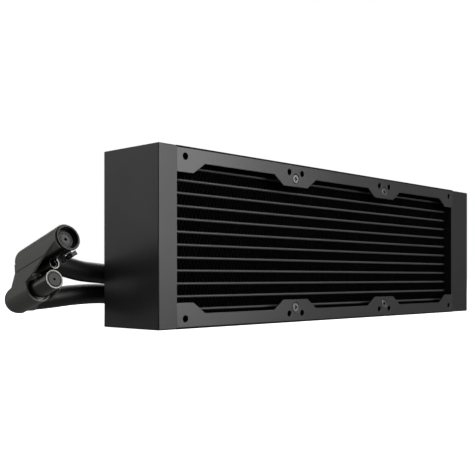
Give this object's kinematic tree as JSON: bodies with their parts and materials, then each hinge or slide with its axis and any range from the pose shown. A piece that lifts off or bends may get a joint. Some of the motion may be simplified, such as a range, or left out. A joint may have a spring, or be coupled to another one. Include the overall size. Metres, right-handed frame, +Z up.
{
  "type": "liquid cooling radiator",
  "caption": "Long finned liquid cooling radiator with end tanks, fan rails, and hoses that end in a quick-release coupling head.",
  "frame": {"origin": "middle of the body's bottom long edge face, half way along its length and its thickness", "axes": "+X along the body towards the wide tank, +Y towards the back with the hoses, +Z up"},
  "size_m": [0.4703, 0.0896, 0.118],
  "materials": {
    "tank_paint": "satin black powder coat on brass sheet",
    "frame_paint": "satin black powder coat on steel sheet",
    "core_paint": "matt black sprayed paint on copper fins and brass tubes",
    "black_screw": "black zinc",
    "black_fitting": "moulded glass-filled nylon",
    "seal_rubber": "matt nitrile rubber",
    "plated_brass": "nickel-plated brass",
    "hose_rubber": "satin extruded rubber",
    "cover_plastic": "satin moulded plastic",
    "dull_metal": "turned and bead-blasted",
    "bright_metal": "polished nickel plate",
    "spring_steel": "drawn spring wire"
  },
  "bodies": {
    "radiator": {"left_end_tank": "tank_paint", "right_end_tank": "tank_paint", "left_header_plate": "tank_paint", "right_header_plate": "tank_paint", "tank_divider": "tank_paint", "flat_tubes": "core_paint", "fins": "core_paint", "core_supports": "core_paint", "top_side_plate": "frame_paint", "bottom_side_plate": "frame_paint", "front_rail_top": "frame_paint", "front_rail_bottom": "frame_paint", "rear_rail_top": "frame_paint", "rear_rail_bottom": "frame_paint", "front_rail_screws": "black_screw", "rear_rail_screws": "black_screw", "cover_screws": "black_screw", "fill_plug": "black_fitting", "upper_elbow": "black_fitting", "lower_elbow": "black_fitting", "hose_collars": "black_fitting", "upper_head_elbow": "black_fitting", "lower_head_elbow": "black_fitting", "socket_body": "black_fitting", "guide_liner": "black_fitting", "lever_block": "black_fitting", "fill_plug_seal": "seal_rubber", "port_seals": "seal_rubber", "plug_seal": "seal_rubber", "port_inserts": "plated_brass", "swivel_stems": "plated_brass", "upper_hose": "hose_rubber", "lower_hose": "hose_rubber", "upper_cover": "cover_plastic", "lower_cover": "cover_plastic", "socket_stem": "dull_metal", "plug_body": "bright_metal", "guide_sleeve": "bright_metal", "lever_pin": "bright_metal", "socket_spring": "spring_steel", "plug_spring": "spring_steel", "lever_spring": "spring_steel"},
    "sleeve": {"socket_sleeve": "dull_metal"},
    "valve": {"plug_valve": "dull_metal"},
    "lever": {"release_lever": "bright_metal"}
  },
  "joints": [
    {"name": "socket_sleeve_slide", "type": "slide", "parent": "radiator", "child": "sleeve", "axis": [0, 0.9511, -0.309], "range_m": [0, 0.014], "stiffness_N_per_m": 900, "springref_m": -0.003, "deforming": ["socket_spring"]},
    {"name": "plug_valve_slide", "type": "slide", "parent": "radiator", "child": "valve", "axis": [0, 0.9511, -0.309], "range_m": [0, 0.014], "stiffness_N_per_m": 700, "springref_m": -0.003, "deforming": ["plug_spring"]},
    {"name": "release_lever_rock", "type": "hinge", "parent": "radiator", "child": "lever", "pos_m": [-0.24942, 0.00443, 0.0453], "axis": [0.8988, 0.1355, 0.4169], "range_deg": [0, 6], "stiffness_Nm_per_rad": 0.2, "springref_deg": -2.86, "deforming": ["lever_spring"]}
  ]
}
